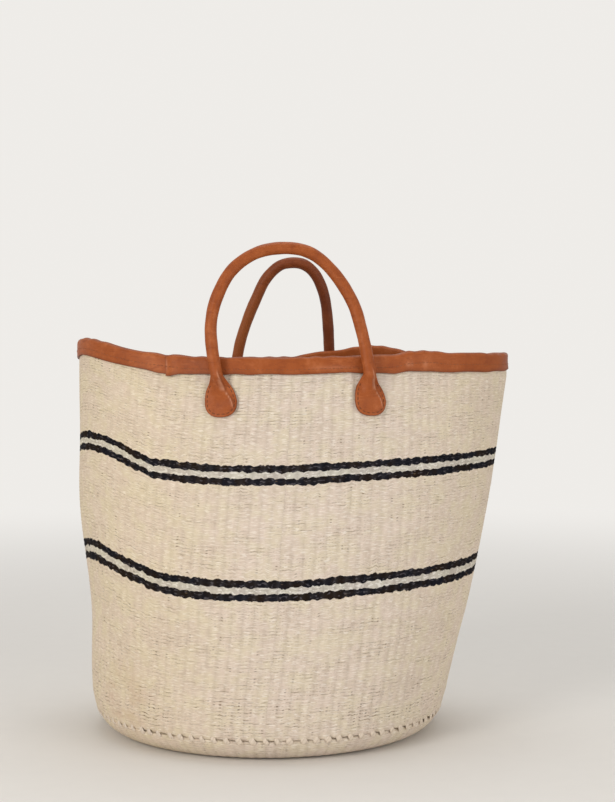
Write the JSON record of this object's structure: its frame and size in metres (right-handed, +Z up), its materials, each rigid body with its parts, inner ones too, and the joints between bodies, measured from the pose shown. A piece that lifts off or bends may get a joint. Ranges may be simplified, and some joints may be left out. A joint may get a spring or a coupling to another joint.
{
  "type": "kiondo basket",
  "caption": "Tall woven sisal basket with striped bands, a leather-bound flattened mouth and rolled leather handles that swing on sewn tabs.",
  "frame": {"origin": "centre of the flat underside of the round woven base", "axes": "+Z up out of the mouth, -Y towards the front wall that carries the larger handle, +X along the mouth's long way towards its pinched end"},
  "size_m": [0.469, 0.3778, 0.5204],
  "materials": {
    "sisal": "woven natural sisal, matt",
    "sisal_cord": "twisted natural sisal cord, matt",
    "dark_sisal": "woven sisal dyed blue-black, matt",
    "light_sisal": "woven bleached sisal, matt",
    "tan_leather": "tan leather, low sheen",
    "stitching": "waxed thread",
    "rope": "sisal rope"
  },
  "bodies": {
    "basket": {"woven_base": "sisal", "base_edge": "sisal", "base_seam_thread": "sisal_cord", "wall_lower": "sisal", "lower_stripes_dark_row_bottom": "dark_sisal", "lower_stripes_light_row": "light_sisal", "lower_stripes_dark_row_top": "dark_sisal", "wall_middle": "sisal", "upper_stripes_dark_row_bottom": "dark_sisal", "upper_stripes_light_row": "light_sisal", "upper_stripes_dark_row_top": "dark_sisal", "wall_upper": "sisal", "rim_binding": "tan_leather", "binding_thread_outer": "stitching", "binding_thread_inner": "stitching", "front_left_tab": "tan_leather", "front_left_tab_stitching": "stitching", "front_right_tab": "tan_leather", "front_right_tab_stitching": "stitching", "rear_left_tab": "tan_leather", "rear_left_tab_stitching": "stitching", "rear_right_tab": "tan_leather", "rear_right_tab_stitching": "stitching"},
    "front_handle": {"front_handle_cover": "tan_leather", "front_handle_core": "rope"},
    "rear_handle": {"rear_handle_cover": "tan_leather", "rear_handle_core": "rope"}
  },
  "joints": [
    {"name": "front_handle_swing", "type": "hinge", "parent": "basket", "child": "front_handle", "pos_m": [0.02803, -0.13357, 0.38061], "axis": [0.9985, 0.0542, 0.0087], "range_deg": [-6, 145]},
    {"name": "rear_handle_swing", "type": "hinge", "parent": "basket", "child": "rear_handle", "pos_m": [0.01257, 0.1339, 0.38011], "axis": [-0.9999, 0.0049, -0.014], "range_deg": [-6, 145]}
  ]
}
